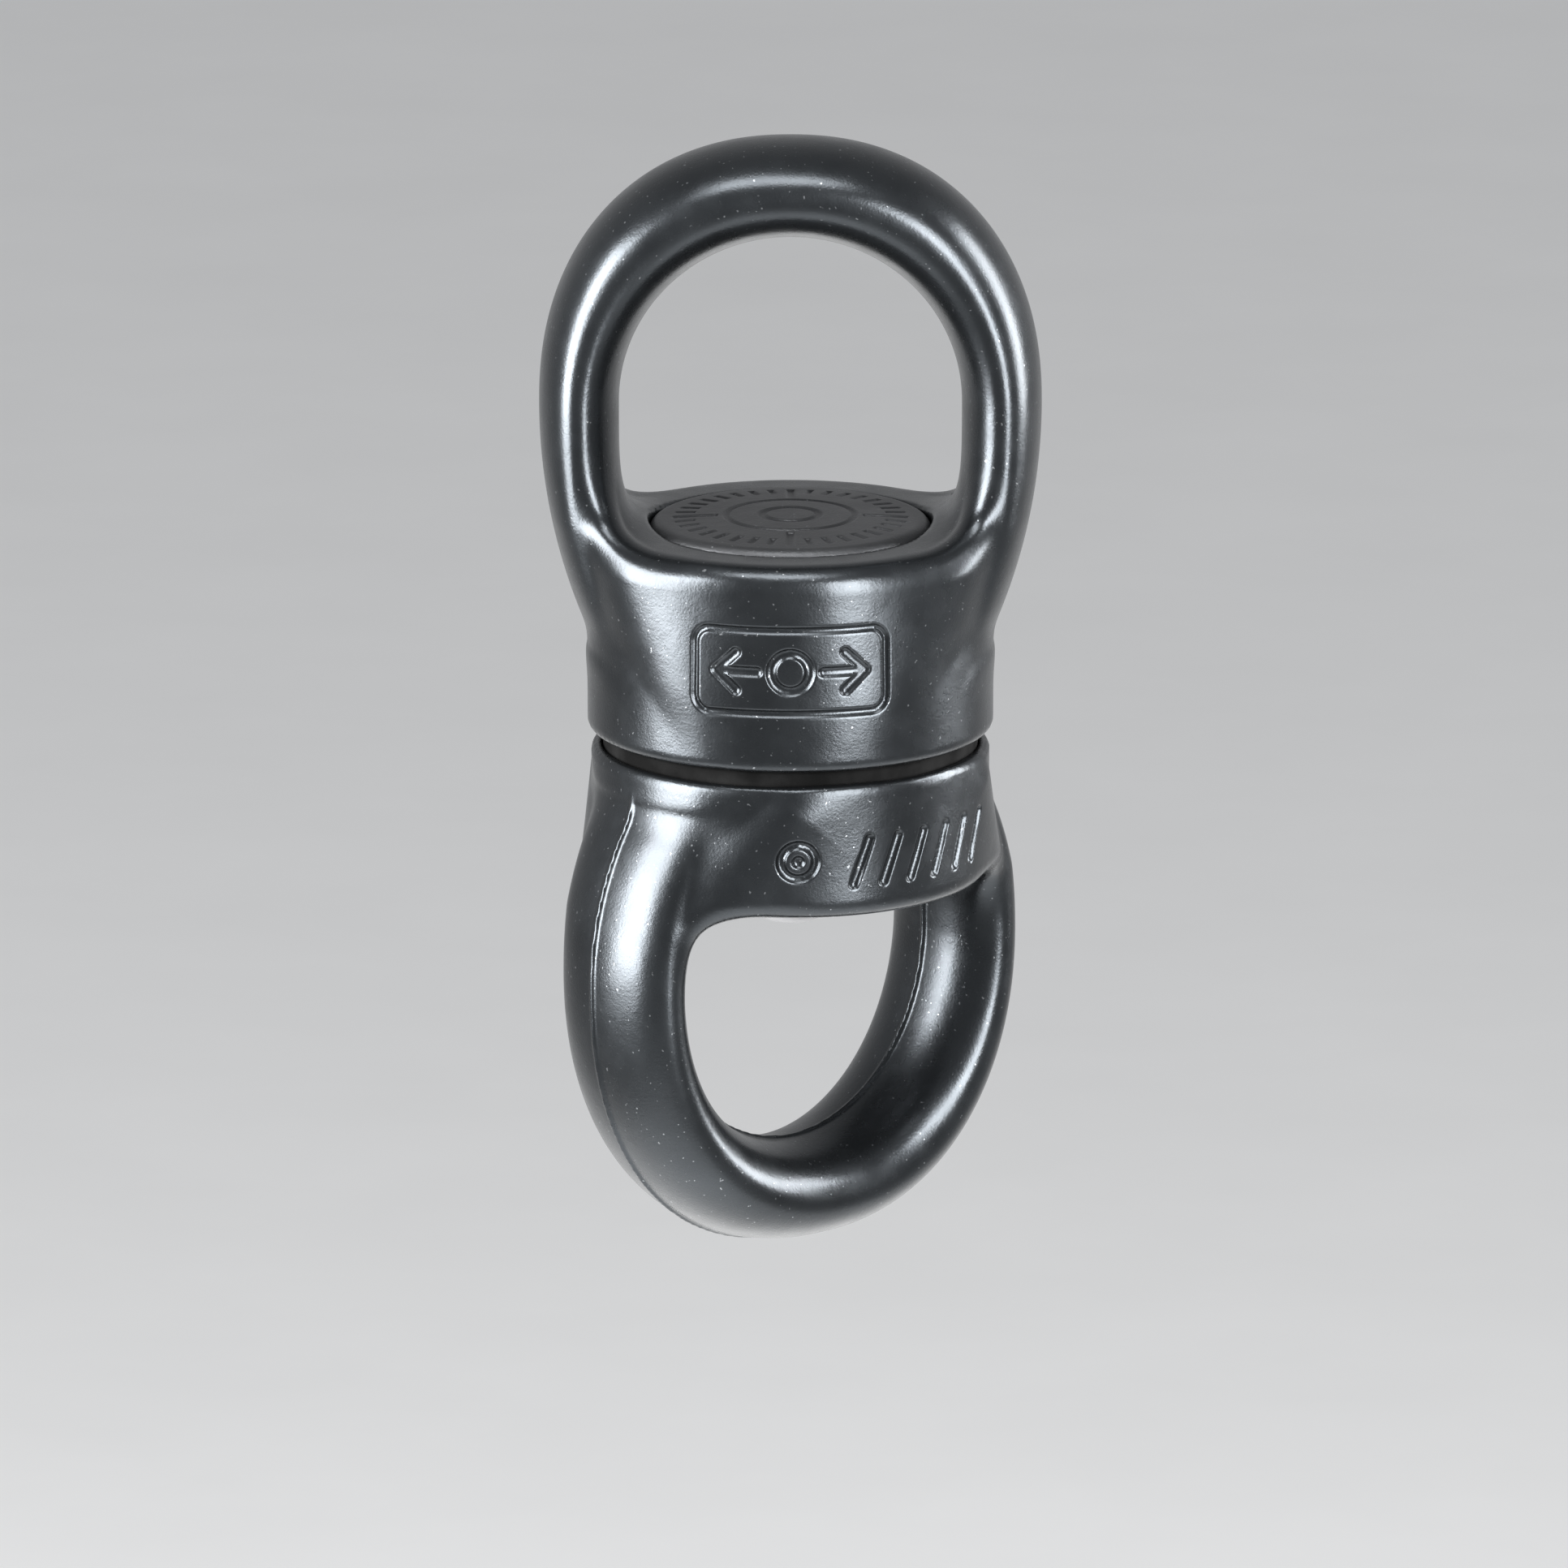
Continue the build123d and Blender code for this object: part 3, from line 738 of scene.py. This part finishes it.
dress(upper, bow_black)
dress(lower, bow_black)
dress(cap, cap_black)
FINISH = (
    (axle_steel, "axle_steel", ("axle", "rivet_washer")),
    (
        bearing_steel,
        "bearing_steel",
        (
            "spacer_sleeve",
            "thrust_housing_washer",
            "thrust_shaft_washer",
            "bearing_inner_race",
            "bearing_outer_race",
        ),
    ),
    (brass, "cage_brass", ("thrust_cage",)),
    (ball_steel, "ball_steel", ("thrust_balls", "bearing_balls")),
    (
        sheet_steel,
        "cage_steel",
        (
            "bearing_cage_upper",
            "bearing_cage_lower",
            "bearing_cage_rivets",
            "bearing_upper_shield",
            "bearing_lower_shield",
        ),
    ),
    (spring_steel, "spring_steel", ("snap_ring",)),
    (dark_rubber_and_gap_shade, "seal_rubber", ("gap_seal", "cap_o_ring", "axle_o_ring")),
)
for material, slot_name, nodes in FINISH:
    for node in nodes:
        dress(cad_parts[node], material)

# ---- floor, light and camera, in metres ---------------------------------------------------------------
FLOOR_HALF = 3.0
FLOOR_DROP = 0.30  # from the object's lowest point down to the floor
PAPER = (0.87, 0.87, 0.865)
PAPER_DARK = (0.86, 0.86, 0.855)
PAPER_LIGHT = (0.88, 0.88, 0.875)

paper, paper_tree, paper_shader = new_material("pale_paper", 0.0, PAPER, 0.9)
tint = noise(paper_tree, coordinates(paper_tree), 30.0, 3.0)
paper_tone = ramp(paper_tree, tint, ((0.3, PAPER_DARK), (0.7, PAPER_LIGHT)))
paper_tree.links.new(paper_tone, paper_shader.inputs["Base Color"])

low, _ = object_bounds()
floor_level = low[2] - FLOOR_DROP
floor_mesh = bpy.data.meshes.new("floor")
floor_mesh.from_pydata(
    [
        (-FLOOR_HALF, -FLOOR_HALF, floor_level),
        (FLOOR_HALF, -FLOOR_HALF, floor_level),
        (FLOOR_HALF, FLOOR_HALF, floor_level),
        (-FLOOR_HALF, FLOOR_HALF, floor_level),
    ],
    [],
    [(0, 1, 2, 3)],
)
floor_mesh.materials.append(paper)
floor = bpy.data.objects.new("floor", floor_mesh)
bpy.context.scene.collection.objects.link(floor)
floor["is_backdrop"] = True


def softbox(name, at, width, height, watts):
    """A soft rectangular light aimed at the object."""
    data = bpy.data.lights.new(name, "AREA")
    data.shape = "RECTANGLE"
    data.size = width
    data.size_y = height
    data.energy = watts
    light = bpy.data.objects.new(name, data)
    light.location = at
    light.rotation_mode = "QUATERNION"
    light.rotation_quaternion = (-Vector(at)).to_track_quat("-Z", "Y")
    bpy.context.scene.collection.objects.link(light)
    light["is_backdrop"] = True


softbox("left_softbox", (-0.33, -0.13, 0.07), width=0.20, height=0.34, watts=9.5)
softbox("right_softbox", (0.20, -0.30, 0.08), width=0.13, height=0.34, watts=5.4)
softbox("far_softbox", (0.34, 0.06, 0.09), width=0.14, height=0.30, watts=4.4)
softbox("top_softbox", (-0.04, -0.14, 0.42), width=0.26, height=0.14, watts=2.3)

WORLD_COLOUR = (0.80, 0.81, 0.83)
WORLD_STRENGTH = 0.58
world = bpy.data.worlds.new("studio")
bpy.context.scene.world = world
world.use_nodes = True
background = world.node_tree.nodes["Background"]
background.inputs["Color"].default_value = (*WORLD_COLOUR, 1)
background.inputs["Strength"].default_value = WORLD_STRENGTH

FRAME_WIDTH = 0.1223  # what the picture is wide, at the object
DISTANCE = 1.4
SENSOR = 36  # millimetres, as the lens
LOOK_DOWN = math.radians(14.5)
camera_data = bpy.data.cameras.new("photo_camera")
camera = bpy.data.objects.new("photo_camera", camera_data)
bpy.context.scene.collection.objects.link(camera)
bpy.context.scene.camera = camera
camera_data.sensor_width = SENSOR
camera_data.lens = SENSOR * DISTANCE / FRAME_WIDTH
target = Vector((-0.0005, 0, GAP * MM - 0.0042))
back = Vector((0, -math.cos(LOOK_DOWN), math.sin(LOOK_DOWN)))
camera.location = target + back * DISTANCE
camera.rotation_mode = "QUATERNION"
camera.rotation_quaternion = (-back).to_track_quat("-Z", "Y")
camera_data.clip_start = 0.01
camera_data.clip_end = 20

bpy.context.scene.view_settings.view_transform = "Standard"

record_size("visual")
